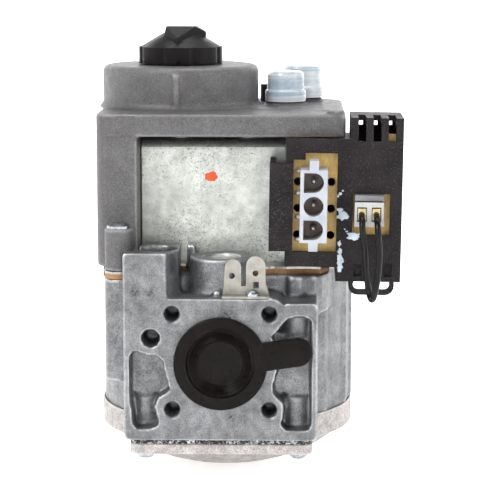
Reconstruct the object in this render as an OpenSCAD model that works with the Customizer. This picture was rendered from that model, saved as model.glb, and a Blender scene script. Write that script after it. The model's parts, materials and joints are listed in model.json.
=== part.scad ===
// Two-stage servo-regulated gas valve for a furnace or boiler.
// Frame: origin at the centre of the outlet flange's bolt square, on its front face.
// +X is to the right seen from the outlet, +Y runs from the outlet to the inlet, +Z is up.

/* [Gas path] */
// Distance from the outlet face to the inlet face
port_to_port = 89; // [80:1:100]
// Radius of the tapped inlet and outlet ports (1/2 in pipe thread)
port_r = 9.9; // [9:0.1:11]
// Spacing of the flange's tapped holes, both ways
bolt_spacing = 25.4; // [20:0.1:30]
// Radius of the flange's tapped holes
bolt_hole_r = 1.95; // [1.5:0.05:3]
// Radius of the main valve's seat hole
seat_r = 9; // [6:0.5:12]

/* [Valve body] */
// Half the width of the flanges
flange_half = 25.4; // [22:0.1:28]
// Height of the flange's top ledge over the port centre
ledge_z = 16.8; // [15:0.1:18]
// Lowest level of the cast body
body_bottom = -20.9; // [-25:0.1:-18]
// Level of the joint between the body and the control housing
parting_z = 21.2; // [18:0.1:24]
// Radius of the round middle of the body
drum_r = 34.5; // [30:0.5:38]
// Thickness of the cover's rubber gasket and of the diaphragm's clamped bead
diaphragm_t = 1.2; // [0.8:0.1:2]
// Lowest level of the bowl under the bottom cover
bowl_low = -36.2; // [-42:0.1:-30]

/* [Control housing] */
// Underside of the top plate
plate_low = 58.2; // [55:0.1:60]
// Top of the top plate
plate_top = 63.7; // [60:0.1:66]
// Front of the control housing's top plate
housing_front = 11; // [8:0.5:14]
// Left side of the control housing
housing_left = -33.4; // [-36:0.1:-30]
// Right side of the control housing
housing_right = 32.4; // [30:0.1:35]
// Radius of the round boss under the knob
boss_r = 21.5; // [18:0.5:24]
// Top of the round boss
boss_top = 75; // [70:0.5:80]

/* [Knob] */
// Radius of the knob's fluted skirt
knob_r = 11.6; // [9:0.1:14]
// Top of the knob's grip
knob_top = 85.4; // [80:0.1:90]
// Number of flutes round the skirt
flutes = 8; // [6:2:16]

/* [Electronics] */
// Front face of the electronics cover
cover_front = 6; // [4:0.5:10]
// Pitch of the three-way header
header_pitch = 6.1; // [5:0.05:7]
// Pitch of the jumper plug's two contacts
jumper_pitch = 3.75; // [2.54:0.01:5.08]
// Diameter of the jumper wire's insulation
wire_d = 1.65; // [1:0.05:2.5]
// Lean of the electronics, clockwise seen from the front
electronics_lean = 0.8; // [0:0.1:2]

/* [Hidden] */
$fn = 64;

gap = 0.3;
pin_fit = 0.05;
drum_y = port_to_port / 2;
front_depth = 24;
rim_r = drum_r + 0.7;
lip_top = -18.2;
hole_at = bolt_spacing / 2;
pocket_depth = 7.2;
pocket_floor = 5.4;
hole_depth = 9;
rise = [0, 72];
rise_r = 4;
screen_z = 13;
inlet_chamber_r = 22;

// Main valve
seat_top = 12;
seat_wall = 7;
chamber_r = 20;
chamber_floor = -8;
servo_r = 26.5;
bead_r = 28;
servo_top = -12;
stem_r = 2;
rubber_t = 2;
disc_t = 1.2;
disc_r = 11.5;
plate_r = 12;
plate_z = -18.4;

// Bottom cover
foot_half = 24;
foot_inset = 1.2;
foot_round = 2;
cover_top = body_bottom - diaphragm_t;
cover_flange_t = 2.9;
cover_low = cover_top - cover_flange_t;
bowl_t = 2.2;
bowl_curve = 2.7;
centre_boss_low = -36.9;
centre_boss_r = 3.5;
cover_screw_at = [[-20.3, 8], [20.3, 8], [-20.3, 81], [20.3, 81], [-22.3, 66.8], [22.3, 66.8]];
cover_screw_r = 1.7;

// Tapped bosses on the front
tap = [-0.2, 12.8];
tap_r = 8.3;
tap_top = 26.2;
pilot = [-17, 9.8];
pilot_r = 5.4;
pilot_top = 28.6;
front_boss = [-26.8, 7.7];
front_boss_r = 3.8;
front_boss_top = 34.3;
ground_screw_at = [8.3, 1.8];
ground_screw_r = 1.1;

// Control housing
gasket_t = 1.3;
seal_t = 0.6;
housing_low = parting_z + gasket_t + seal_t;
base_top = 27;
housing_screw_r = 1.7;
column_front = 11.6;
knob_axis = [-12.7, 44.5];
shaft_r = 3;
shaft_disc_r = 11;
cavity_r = 14;
cavity_top = 72;
front_regulator = [16.4, 45];
rear_regulator = [21, 61];
turret_top = 69.4;
turret_r = 4.35;
collar_top = 64.5;
regulator_low = 47;
regulator_bore_r = 3.6;
adjust_low = 63.6;
cap_gap = 0.3;
cap_band = 2.8;
housing_screw_at = [[-19, 62], [26, 60], [22.5, 27]];

// Coils
panel_face = 21.6;
base_front = panel_face + 1.6;
panel_back = 38;
panel_t = 1.2;
panel_left = -22.1;
panel_right = 16.8;
panel_top = 56;
coils = [-12, 7];
coil_y = 32;
coil_r = 8.4;
coil_low = base_top;
coil_top = 54.8;
bobbin_r = 6;
tube_r = 5;
plunger_r = 4.3;
plunger_low = 29;
plunger_top = 42;
core_low = 44;
pilot_seat_top = 27.8;

// Electronics
header_x = 24.3;
header_z = 40.9;
header_half_w = 3.5;
header_half_h = 9.4;
header_front = -1;
jumper_x = 38.7;
jumper_z = 38.5;
plug_front = 2.4;
plug_half_w = 3.75;
box_back = 26;
vents = [35.6, 39.5, 43.4];
board_front = 9;
board_t = 1.6;
cavity_half = 2.55;

// Boxes, posts and rods between stated limits
module block(x0, x1, y0, y1, z0, z1) {
    translate([x0, y0, z0]) cube([x1 - x0, y1 - y0, z1 - z0]);
}

module post(at, z0, z1, r) {
    translate([at[0], at[1], z0]) cylinder(h = z1 - z0, r = r);
}

module cone(at, z0, z1, r0, r1) {
    translate([at[0], at[1], z0]) cylinder(h = z1 - z0, r1 = r0, r2 = r1);
}

module rod(x, z, y0, y1, r) {
    translate([x, y1, z]) rotate([90, 0, 0]) cylinder(h = y1 - y0, r = r);
}

// An upright outline in X and Z, made solid from y0 to y1
module wall(y0, y1) {
    translate([0, y1, 0]) rotate([90, 0, 0]) linear_extrude(y1 - y0) children();
}

// A flat outline in X and Y, made solid from z0 to z1
module layer(z0, z1) {
    translate([0, 0, z0]) linear_extrude(z1 - z0) children();
}

// Points of an arc, for outlines
function arc(at, r, a0, a1, n) = [
    for (i = [0:n])
        let(a = a0 + (a1 - a0) * i / n)
        [at[0] + r * cos(a), at[1] + r * sin(a)]
];

// Points of a rectangle with rounded corners
function rounded(x0, x1, z0, z1, r) = concat(
    arc([x1 - r, z0 + r], r, -90, 0, 4),
    arc([x1 - r, z1 - r], r, 0, 90, 4),
    arc([x0 + r, z1 - r], r, 90, 180, 4),
    arc([x0 + r, z0 + r], r, 180, 270, 4)
);

// A round tube of one solid through a list of points, with flat ends
function unit(v) = v / norm(v);
function heading(path, i) = unit(path[min(i + 1, len(path) - 1)] - path[max(i - 1, 0)]);
function frames(path, i) = i == 0
    ? [unit(cross(heading(path, 0), [0.31, 0.17, 0.93]))]
    : let(before = frames(path, i - 1), old = before[i - 1], t = heading(path, i))
      concat(before, [unit(old - t * (old * t))]);

module tube(path, r, sides) {
    side = frames(path, len(path) - 1);
    rings = [
        for (i = [0:len(path) - 1])
            let(t = heading(path, i), u = side[i], v = cross(t, u))
            for (k = [0:sides - 1])
                let(a = 360 * k / sides)
                path[i] + r * (cos(a) * u + sin(a) * v)
    ];
    last = (len(path) - 1) * sides;
    faces = concat(
        [[for (k = [0:sides - 1]) k]],
        [[for (k = [sides - 1:-1:0]) last + k]],
        [for (i = [0:len(path) - 2], k = [0:sides - 1])
            [i * sides + k, (i + 1) * sides + k, (i + 1) * sides + (k + 1) % sides]],
        [for (i = [0:len(path) - 2], k = [0:sides - 1])
            [i * sides + k, (i + 1) * sides + (k + 1) % sides, i * sides + (k + 1) % sides]]
    );
    polyhedron(points = rings, faces = faces, convexity = 8);
}

// A compression spring standing on z0, with its coils' centre line at radius r
module coil_spring(at, z0, z1, r, wire_r, turns) {
    steps = 12 * turns;
    low = z0 + wire_r;
    high = z1 - wire_r;
    tube([
        for (i = [0:steps])
            [at[0] + r * cos(30 * i), at[1] + r * sin(30 * i), low + (high - low) * i / steps]
    ], wire_r, 6);
}

// Outline of the body seen from the front, from the flange's foot to its ledge
module flange_outline() {
    polygon(concat(
        arc([-flange_half + 1, body_bottom + 1], 1, 180, 270, 3),
        arc([flange_half - 1, body_bottom + 1], 1, 270, 360, 3),
        [[flange_half, 14.7]],
        arc([flange_half - 1, 14.7], 1, 0, 90, 3),
        [[17.4, 15.7]],
        arc([hole_at, hole_at], 4.5, 35, 90, 5),
        [[10, ledge_z], [-flange_half, ledge_z]]
    ));
}

// Recess left of the port, with the screw boss standing in it
module left_pocket() {
    polygon([[-23.8, 1.1], [-23.2, 2.5], [-22.3, 2.9], [-20.8, 2.6], [-18.6, 1.6], [-16.3, 1.7],
        [-15.1, 0.5], [-14.4, -2.9], [-13.5, -6.5], [-13.5, -7.7], [-16.4, -9.5], [-17.3, -11.9],
        [-16.4, -15.5], [-16.2, -16.8], [-18.2, -17.7], [-21.8, -17.9], [-22.9, -16.8],
        [-23.8, -8.3]]);
}

// Recess right of the port, with two screw bosses standing in it
module right_pocket() {
    polygon([[13.35, 6.9], [15.35, 9.1], [16.7, 10.9], [17.6, 11.8], [19.4, 12.05], [22, 12.05],
        [23.2, 11.4], [23.6, 10.5], [23.6, -16.8], [23, -17.8], [22.1, -18.05], [17.1, -18.05],
        [15.8, -16.8], [16.3, -14.5], [16.6, -12], [16.1, -10.5], [14, -8.75], [13.6, -6.5],
        [14.7, -2.05], [14.4, 3]]);
}

// Outline of the joint between the body and its bottom cover, seen from above
module bottom_outline(drum) {
    low = foot_inset + foot_round;
    side = foot_half - foot_round;
    translate([0, drum_y]) circle(r = drum);
    polygon(concat(
        arc([-side, low], foot_round, 180, 270, 4),
        arc([side, low], foot_round, 270, 360, 4),
        arc([side, port_to_port - low], foot_round, 0, 90, 4),
        arc([-side, port_to_port - low], foot_round, 90, 180, 4)
    ));
}

// Port and tapped holes of one flange
module flange_cuts(y0, y1, hole_y0, hole_y1) {
    rod(0, 0, y0, y1, port_r);
    for (sx = [-1, 1], sz = [-1, 1])
        rod(sx * hole_at, sz * hole_at, hole_y0, hole_y1, bolt_hole_r);
}

// Shallow countersinks at the mouths of the front flange's tapped holes
module hole_mouths() {
    for (sx = [-1, 1], sz = [-1, 1])
        translate([sx * hole_at, 0.5, sz * hole_at]) rotate([90, 0, 0])
            cylinder(h = 1, r1 = bolt_hole_r, r2 = bolt_hole_r + 1.2);
}

// Cover screw's boss in a side recess, rounded off at the top
module pocket_boss(x, r, z0, z1) {
    post([x, 8.2], z0, z1, r);
    cone([x, 8.2], z1 - 0.01, z1 + 0.5, r, r - 0.3);
    cone([x, 8.2], z1 + 0.49, z1 + 0.9, r - 0.3, r - 1);
}

module body_shell() {
    post([0, drum_y], body_bottom, parting_z, drum_r);
    wall(0, front_depth) flange_outline();
    wall(port_to_port - front_depth, port_to_port) flange_outline();
    // Left block with the pilot outlet, and the raised tap boss
    layer(ledge_z - 2, pilot_top)
        polygon([[-flange_half, 0], [-14.2, 0], [-11.2, 7], [-11.2, 16.4], [-12.6, 17.6], [-20.4, 17.6],
            [-21.8, 16], [-22, 12.4], [-22.6, 9.6], [-22.8, 7.7], [-23.3, 5.4], [-flange_half, 3.9]]);
    post(tap, ledge_z - 2, tap_top, tap_r);
    cone(tap, ledge_z - 1, ledge_z + 1, tap_r + 1.4, tap_r);
    post([-1.2, 3], ledge_z - 1, ledge_z + 1.6, 0.9);
    // Neck wall up to the joint, standing back from the flange
    layer(ledge_z - 6, parting_z)
        polygon([[-11.5, 13], [10, 11], [17, 12.5], [17.8, 10.2], [20.6, 9.6], [22.6, 11.6], [24.8, 11.2],
            [26.4, 13.4], [28.2, 18], [29.1, 26], [20, 34], [-20, 34], [-30, 22], [-25.4, 16]]);
    // Column that carries the housing's front left screw
    post(front_boss, -6, parting_z, front_boss_r);
    layer(-6, parting_z) polygon([[-30.5, 7.7], [-23.1, 7.7], [-20, 14], [-22, 30], [-33.4, 36]]);
    // Cast lug between the pilot block and the tap boss
    layer(parting_z - 1, 28.4) polygon([[-9.6, 17.4], [-7.6, 17], [-7.2, 20], [-9.6, 20.4]]);
    // Vertical ribs down the right side of the drum
    for (a = [-38, -18, -4, 12])
        post([(drum_r - 0.6) * cos(a), drum_y + (drum_r - 0.6) * sin(a)], lip_top, parting_z, 1.4);
}

module body_hollows() {
    // Servo chamber over the diaphragm, outlet chamber, inlet chamber and the rise to it
    post([0, drum_y], body_bottom - 1, servo_top, servo_r);
    post([0, drum_y], chamber_floor, seat_wall, chamber_r);
    post([0, drum_y], seat_wall + 4, parting_z + 1, inlet_chamber_r);
    post([0, drum_y], seat_wall - 1, seat_top, seat_r);
    post([0, drum_y], servo_top - 1, chamber_floor + 1, stem_r + pin_fit);
    post(rise, 0, parting_z + 1, rise_r);
    block(-rise_r, rise_r, 62, rise[1], seat_wall + 4, parting_z + 1);
}

module valve_body() {
    color("#a7a9ab") {
        difference() {
            body_shell();
            body_hollows();
            flange_cuts(-1, front_depth + 2, -1, hole_depth);
            flange_cuts(rise[1] - 2, port_to_port + 1, port_to_port - hole_depth, port_to_port + 1);
            hole_mouths();
            rod(-18.2, 6.3, -1, 9, 2.35);
            // Side recesses of the front flange
            difference() {
                wall(-1, pocket_depth) left_pocket();
                pocket_boss(-20.1, 3.7, -25, -10.7);
                block(-26, -12, pocket_floor, 9, -9.2, 4);
            }
            difference() {
                wall(-1, pocket_depth) right_pocket();
                post([20.3, 8.4], 6, 14, 4.4);
                pocket_boss(19.9, 4, -25, -10.7);
                block(12, 26, pocket_floor, 9, -9.2, 7);
            }
            // Outlet pressure tap and pilot outlet
            post(tap, 16.4, tap_top + 1, 4.75);
            cone(tap, tap_top - 0.4, tap_top + 0.01, 4.75, 5.2);
            post(tap, 8, 17, 1.6);
            post(pilot, 20.5, pilot_top + 1, pilot_r);
            cone(pilot, 17.8, 20.51, 2.6, pilot_r);
            post(pilot, 12, 18, 2.6);
            // Screw holes from below and the housing's screw holes from above
            for (at = cover_screw_at)
                post(at, body_bottom - 1, -13, cover_screw_r + pin_fit);
            post(front_boss, 8, parting_z + 1, 1.75);
            for (at = housing_screw_at)
                post(at, 12, parting_z + 1, 1.75);
            post(ground_screw_at, 12, ledge_z + 1, ground_screw_r + pin_fit);
            // Flat seat of the ground terminal
            block(0.3, 12.9, -1, 4.45, ledge_z, ledge_z + 3);
        }
        // Raised lip of the main valve seat
        difference() {
            post([0, drum_y], seat_wall + 3, seat_top, seat_r + 1.4);
            post([0, drum_y], seat_wall, seat_top + 1, seat_r);
        }
    }
}

// Bowl of revolution under the cover, steep at its rim and flat in the middle
module bowl(r, low, high, inset) {
    translate([0, drum_y, 0]) rotate_extrude() polygon(concat(
        [for (i = [0:10]) [r * i / 10 - inset * pow(i / 10, 2), low + (high - low) * pow(i / 10, bowl_curve)]],
        [[r - inset, cover_top], [0, cover_top]]
    ));
}

module cover_holes(z0, z1) {
    for (at = cover_screw_at)
        post(at, z0, z1, cover_screw_r + pin_fit);
}

// Raised lip of the cover that wraps round the foot of the drum
module cover_skirt() {
    difference() {
        post([0, drum_y], cover_low, lip_top, rim_r);
        post([0, drum_y], cover_low - 1, lip_top + 1, drum_r + 0.1);
        for (y0 = [0, port_to_port - front_depth])
            block(-flange_half - 0.1, flange_half + 0.1, y0, y0 + front_depth, cover_top, lip_top + 1);
    }
}

module bottom_cover() {
    color("#c9c5c1") difference() {
        union() {
            layer(cover_low, cover_top) bottom_outline(rim_r);
            cover_skirt();
            bowl(rim_r, bowl_low, cover_low + 1.4, 0);
            post([0, drum_y], centre_boss_low, bowl_low + 2, centre_boss_r);
        }
        intersection() {
            translate([0, 0, bowl_t]) bowl(rim_r, bowl_low, cover_low + 1.4, 0);
            post([0, drum_y], bowl_low, cover_top + 1, servo_r - 1);
        }
        post([0, drum_y], cover_low - 2, cover_top + 1, servo_r - 1);
        cover_holes(cover_low - 5, cover_top + 1);
        for (at = cover_screw_at)
            post(at, cover_low - 8, cover_low, 3.2);
    }
}

module cover_gasket() {
    color("#1c1c1e") difference() {
        layer(cover_top, body_bottom) bottom_outline(drum_r);
        post([0, drum_y], cover_top - 1, body_bottom + 1, bead_r);
        cover_holes(cover_top - 1, body_bottom + 1);
    }
}

module main_diaphragm() {
    color("#242426")
        translate([0, drum_y, 0]) rotate_extrude() polygon([
            [0, plate_z - 1], [plate_r + 2, plate_z - 1], [servo_r - 2, cover_top],
            [bead_r, cover_top], [bead_r, body_bottom], [servo_r - 1.5, body_bottom],
            [plate_r + 2.5, plate_z], [0, plate_z]
        ]);
}

// A screw driven upwards, with its head under z
module screw_up(at, z, tip, r) {
    post(at, z, tip, r);
    difference() {
        union() {
            post(at, z - 1.4, z, 2.6);
            cone(at, z - 2.3, z - 1.4, 1.7, 2.6);
        }
        for (turn = [0, 90])
            translate([at[0], at[1], z - 2.4]) rotate([0, 0, turn]) cube([2.6, 0.6, 1.6], center = true);
    }
}

// A screw driven downwards, with its head on z
module screw_down(at, z, tip, r, head_r, head_h) {
    post(at, tip, z, r);
    difference() {
        union() {
            post(at, z, z + head_h * 0.5, head_r);
            cone(at, z + head_h * 0.5, z + head_h, head_r, head_r * 0.6);
        }
        translate([at[0], at[1], z + head_h]) cube([head_r * 1.2, 0.6, head_h], center = true);
        translate([at[0], at[1], z + head_h]) cube([0.6, head_r * 1.2, head_h], center = true);
    }
}

module cover_screws() {
    color("#b9bcc0")
        for (at = cover_screw_at)
            screw_up(at, cover_low, -14, cover_screw_r);
}

module inlet_screen() {
    color("#b8b49a") difference() {
        post(rise, screen_z, screen_z + 0.5, rise_r);
        for (row = [-2:2], column = [-2:2])
            if (norm([row, column]) < 2.4)
                post([rise[0] + 1.4 * column, rise[1] + 1.4 * row], screen_z - 1, screen_z + 1, 0.5);
    }
}

// Main valve
module main_valve_disc() {
    color("#c4c6c8") difference() {
        post([0, drum_y], seat_top + gap + rubber_t, seat_top + gap + rubber_t + disc_t, disc_r);
        post([0, drum_y], seat_top, seat_top + 9, stem_r);
    }
}

module main_valve_rubber() {
    color("#222222") difference() {
        post([0, drum_y], seat_top + gap, seat_top + gap + rubber_t, disc_r);
        post([0, drum_y], seat_top, seat_top + 9, stem_r);
    }
}

module main_valve_stem() {
    color("#d0d2d4") post([0, drum_y], plate_z, seat_top + gap + rubber_t + disc_t, stem_r);
}

module diaphragm_plate() {
    color("#b0b4b8") difference() {
        post([0, drum_y], plate_z + 0.02, plate_z + 1.2, plate_r);
        post([0, drum_y], plate_z - 1, plate_z + 3, stem_r);
    }
}

module main_valve_spring() {
    color("#8a8d90")
        coil_spring([0, drum_y], seat_top + gap + rubber_t + disc_t, housing_low, 5, 0.45, 3);
}

// Control housing and what closes its joint with the body
module joint_outline() {
    difference() {
        union() {
            translate([0, drum_y]) circle(r = 33);
            translate([front_boss[0], front_boss[1]]) circle(r = front_boss_r);
            polygon([[-33, 34], [-31.2, 9], [-23.1, 9], [-21.8, 18], [10, 22], [12, 15], [17, 13.8],
                [22, 14.6], [26, 14], [28.2, 19], [29.1, 34]]);
        }
        translate([0, drum_y]) circle(r = inlet_chamber_r + 0.6);
        translate(tap) circle(r = tap_r + 0.4);
        polygon([[-22.1, 6], [-22, 16.2], [-20.5, 17.9], [-10, 17.9], [-9.9, 20.7], [-6.9, 20.3], [-6.9, 6]]);
        translate([-rise_r, 60]) square([2 * rise_r, rise[1] - 60]);
        translate(rise) circle(r = rise_r);
        for (at = concat([front_boss], housing_screw_at))
            translate([at[0], at[1]]) circle(r = housing_screw_r + pin_fit);
    }
}

module base_gasket() {
    color("#8a5a2c") layer(parting_z, parting_z + gasket_t) joint_outline();
}

module seal_plate() {
    color("#c8c8c6") layer(parting_z + gasket_t, housing_low) joint_outline();
}

module housing_outline() {
    polygon(concat(
        arc([housing_left + 5, housing_front + 5], 5, 180, 270, 6),
        arc([housing_right - 0.6, housing_front + 0.6], 0.6, 270, 360, 2),
        arc([housing_right - 9, 60.5], 9, 0, 90, 6),
        arc([housing_left + 12, 57.5], 12, 90, 180, 6)
    ));
}

module housing_walls() {
    // Left column set back from the plate's front, back wall and right wall
    layer(housing_low, plate_low) difference() {
        housing_outline();
        translate([-40, 0]) square([80, column_front]);
        polygon([[panel_left - 0.2, 0], [40, 0], [40, 36], [housing_right - 2.5, 36], [housing_right - 2.5, 60],
            [24, 66.5], [-20, 66.5], [panel_left, 64]]);
    }
    // Base under the coils
    layer(housing_low, base_top) intersection() {
        union() {
            translate([0, drum_y]) circle(r = 33);
            polygon([[-26, base_front], [28.2, base_front], [29.1, 34], [-26, 34]]);
        }
        translate([-30, base_front]) square([64, 60]);
    }
    for (x = coils)
        cone([x, coil_y], base_top - 1, pilot_seat_top, 2.6, 1.6);
    post(front_boss, housing_low, front_boss_top, front_boss_r);
    block(front_boss[0] - 2.6, front_boss[0] + 2.6, front_boss[1], column_front + 0.5, housing_low, front_boss_top);
}

module regulator_turret(at) {
    post(at, plate_top - 1, collar_top, 5.5);
    post(at, plate_top - 1, turret_top, turret_r);
    post(at, regulator_low, plate_low + 1, 6.5);
}

// Blank raised pads on the top plate
module label_pads() {
    for (pad = [[8.6, 25, 5.6, 3.2], [14.6, 32.6, 6, 3.4], [26.6, 22.6, 3, 4.4]])
        block(pad[0], pad[0] + pad[2], pad[1], pad[1] + pad[3], plate_top - 0.5, plate_top + 0.35);
}

module control_housing() {
    color("#85878a") difference() {
        union() {
            housing_walls();
            layer(plate_low, plate_top) housing_outline();
            // Raised edge along the front of the plate
            block(panel_left - 0.2, housing_right, housing_front - 0.3, housing_front + 1, plate_low - 0.4, plate_top - 0.5);
            cone(knob_axis, plate_top - 0.4, plate_top + 1.1, boss_r + 1.5, boss_r);
            post(knob_axis, plate_top - 1, boss_top - 1.3, boss_r);
            cone(knob_axis, boss_top - 1.3, boss_top - 0.4, boss_r, boss_r - 0.5);
            cone(knob_axis, boss_top - 0.4, boss_top, boss_r - 0.5, boss_r - 1.5);
            // Seam ridge down the front of the boss
            translate([knob_axis[0] - 0.8, knob_axis[1] - boss_r - 0.8, plate_top])
                cube([1.6, 2, boss_top - plate_top - 1.6]);
            regulator_turret(front_regulator);
            regulator_turret(rear_regulator);
            label_pads();
            post([housing_right - 2.4, housing_front + 3], plate_top - 1, plate_top + 1, 2.2);
        }
        // Space inside the left column
        block(housing_left + 3, panel_left - 2.5, 19, 56, housing_low - 1, plate_low - 2);
        // Manual valve's chamber, its ports and the shaft's bore
        post(knob_axis, plate_low - 1, cavity_top, cavity_r);
        post(knob_axis, cavity_top - 1, boss_top + 1, shaft_r + pin_fit);
        for (at = [front_regulator, rear_regulator])
            post(at, regulator_low - 1, turret_top + 1, regulator_bore_r);
        for (x = coils)
            post([x, coil_y], housing_low - 1, pilot_seat_top + 1, 0.9);
        post(front_boss, housing_low - 1, front_boss_top + 1, housing_screw_r + pin_fit);
        for (at = housing_screw_at)
            post(at, housing_low - 1, base_top + 1, housing_screw_r + pin_fit);
    }
}

module housing_screws() {
    color("#d2d4d6") {
        screw_down(front_boss, front_boss_top, 8.5, housing_screw_r, 3.2, 1.3);
        for (at = housing_screw_at)
            screw_down(at, base_top, 12.5, housing_screw_r, 2.7, 1.6);
    }
}

module vent_post() {
    color("#3a3b3d") post([11.3, 58], plate_top, 68.5, 2.2);
}

// Solenoid operators
module coil_bracket() {
    color("#c2c6c9") difference() {
        union() {
            translate([panel_left, 0, 0]) rotate([90, 0, 90]) linear_extrude(panel_right - panel_left) polygon(concat(
                [[panel_face, housing_low]],
                arc([panel_face + 2.5, panel_top - 2.5], 2.5, 180, 90, 6),
                [[panel_back, panel_top], [panel_back, panel_top - panel_t]],
                arc([panel_face + 2.5, panel_top - 2.5], 2.5 - panel_t, 90, 180, 6),
                [[panel_face + panel_t, housing_low]]
            ));
            block(panel_right, panel_right + 1.4, panel_face, panel_face + panel_t, housing_low, 33);
        }
        for (x = coils)
            post([x, coil_y], panel_top - 2, panel_top + 1, 2.7);
    }
}

module coil_bobbins() {
    color("#e4dfd0")
        for (x = coils)
            difference() {
                union() {
                    post([x, coil_y], coil_low, coil_low + 1.2, coil_r);
                    post([x, coil_y], coil_low, coil_top, bobbin_r);
                    post([x, coil_y], coil_top - 1.2, coil_top, coil_r);
                }
                post([x, coil_y], coil_low - 1, coil_top + 1, tube_r + pin_fit);
            }
}

module coil_windings() {
    color("#9c4a1e")
        for (x = coils)
            difference() {
                post([x, coil_y], coil_low + 1.2, coil_top - 1.2, coil_r - 0.4);
                post([x, coil_y], coil_low, coil_top, bobbin_r);
            }
}

module plunger_tubes() {
    color("#c9b06a")
        for (x = coils)
            difference() {
                post([x, coil_y], coil_low, coil_top, tube_r);
                post([x, coil_y], coil_low - 1, coil_top + 1, plunger_r + pin_fit);
            }
}

module fixed_cores() {
    color("#8f9295")
        for (x = coils) {
            post([x, coil_y], core_low, coil_top, plunger_r + pin_fit);
            post([x, coil_y], coil_top, panel_top, 2.7);
            post([x, coil_y], panel_top, panel_top + 1.2, 4);
        }
}

module plunger(x) {
    color("#a2a5a8") difference() {
        post([x, coil_y], plunger_low, plunger_top, plunger_r);
        post([x, coil_y], plunger_top - 7, plunger_top + 1, 2.2);
    }
}

module plunger_rubber(x) {
    color("#202020") post([x, coil_y], pilot_seat_top + gap, plunger_low, 2.8);
}

module plunger_spring(x) {
    color("#8a8d90") coil_spring([x, coil_y], plunger_top - 7, core_low, 1.6, 0.25, 5);
}

module first_plunger() {
    plunger(coils[0]);
}

module first_plunger_rubber() {
    plunger_rubber(coils[0]);
}

module first_plunger_spring() {
    plunger_spring(coils[0]);
}

module second_plunger() {
    plunger(coils[1]);
}

module second_plunger_rubber() {
    plunger_rubber(coils[1]);
}

module second_plunger_spring() {
    plunger_spring(coils[1]);
}

// Manual valve and its knob
module manual_valve_seat() {
    color("#d8d4c6") difference() {
        post(knob_axis, plate_low, plate_low + 2.5, cavity_r);
        for (side = [-1, 1])
            post([knob_axis[0] + 7 * side, knob_axis[1]], plate_low - 1, plate_low + 4, 2.5);
    }
}

module manual_valve_disc() {
    color("#b59a5b") difference() {
        post(knob_axis, plate_low + 2.5 + gap, plate_low + 6, shaft_disc_r);
        post(knob_axis, plate_low, plate_top + 5, shaft_r);
        for (side = [-1, 1])
            post([knob_axis[0] + 7 * side, knob_axis[1]], plate_low, plate_low + 7, 2.5);
    }
}

module knob_shaft() {
    color("#b8a36a") post(knob_axis, plate_low + 2.5 + gap, knob_top - 3.5, shaft_r);
}

module shaft_clip() {
    color("#9b9ea1") difference() {
        post(knob_axis, cavity_top - 1.2, cavity_top - gap, shaft_r + 1.8);
        post(knob_axis, cavity_top - 2, cavity_top + 1, shaft_r);
    }
}

module knob() {
    low = boss_top + gap;
    skirt = low + 4.6;
    color("#17181a") difference() {
        translate([knob_axis[0], knob_axis[1], 0]) union() {
            layer(low, skirt) polygon([
                for (a = [0:3:357]) (knob_r - 0.6 * pow(cos(flutes / 2 * (a - 90) + 90), 20)) * [cos(a), sin(a)]
            ]);
            translate([0, 0, skirt]) cylinder(h = 3.7, r1 = knob_r - 0.5, r2 = 4.8);
            // Grip with a wedge towards the front and a shorter one to the right
            hull() {
                layer(knob_top - 0.1, knob_top) polygon([[-3.9, -3.4], [4.3, -3.4], [4.3, 4.4], [-3.9, 4.4]]);
                layer(skirt, knob_top - 2.9)
                    polygon([[-0.4, -9.4], [3.9, -4.4], [4.3, 5], [0, 9], [-3.9, 5], [-4.4, -4.4]]);
                layer(skirt + 2, knob_top - 1.5) polygon([[5.6, -1.4], [7, -0.7], [7, 0.9], [5.6, 1.6]]);
            }
        }
        post(knob_axis, low - 1, knob_top - 3.5, shaft_r);
        translate([knob_axis[0], knob_axis[1] - knob_r, low]) rotate([0, 45, 0]) cube([1.6, 3, 1.6], center = true);
    }
}

// Pressure regulators on the top plate
module adjust_screw(at) {
    color("#d9d2bd") difference() {
        post(at, adjust_low, turret_top - 0.6, regulator_bore_r - pin_fit);
        translate([at[0], at[1], turret_top - 0.6]) cube([6, 1.2, 3], center = true);
    }
}

module regulator_spring(at) {
    color("#8a8d90") coil_spring(at, regulator_low, adjust_low, 2.7, 0.35, 6);
}

module front_adjust_screw() {
    adjust_screw(front_regulator);
}

module rear_adjust_screw() {
    adjust_screw(rear_regulator);
}

module front_regulator_spring() {
    regulator_spring(front_regulator);
}

module rear_regulator_spring() {
    regulator_spring(rear_regulator);
}

module servo_diaphragms() {
    color("#242426")
        for (at = [front_regulator, rear_regulator])
            post(at, regulator_low - 1, regulator_low, 5.2);
}

module regulator_cap(at, r, top) {
    low = collar_top + cap_gap;
    color("#e6ecef") difference() {
        union() {
            post(at, low, low + cap_band, r + 0.5);
            cone(at, low + cap_band, low + cap_band + 0.5, r + 0.5, r);
            post(at, low, top - 1, r);
            cone(at, top - 1, top - 0.3, r, r - 0.4);
            cone(at, top - 0.3, top, r - 0.4, r - 1.1);
        }
        post(at, low - 1, top - 1.4, r - 0.6);
    }
}

module front_cap() {
    regulator_cap(front_regulator, 5.1, 73.1);
}

module rear_cap() {
    regulator_cap(rear_regulator, 5.4, 73.9);
}

// Electronics, which lean a little to the right at the top
module lean() {
    translate([40, 0, 61]) rotate([0, electronics_lean, 0]) translate([-40, 0, -61]) children();
}

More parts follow.
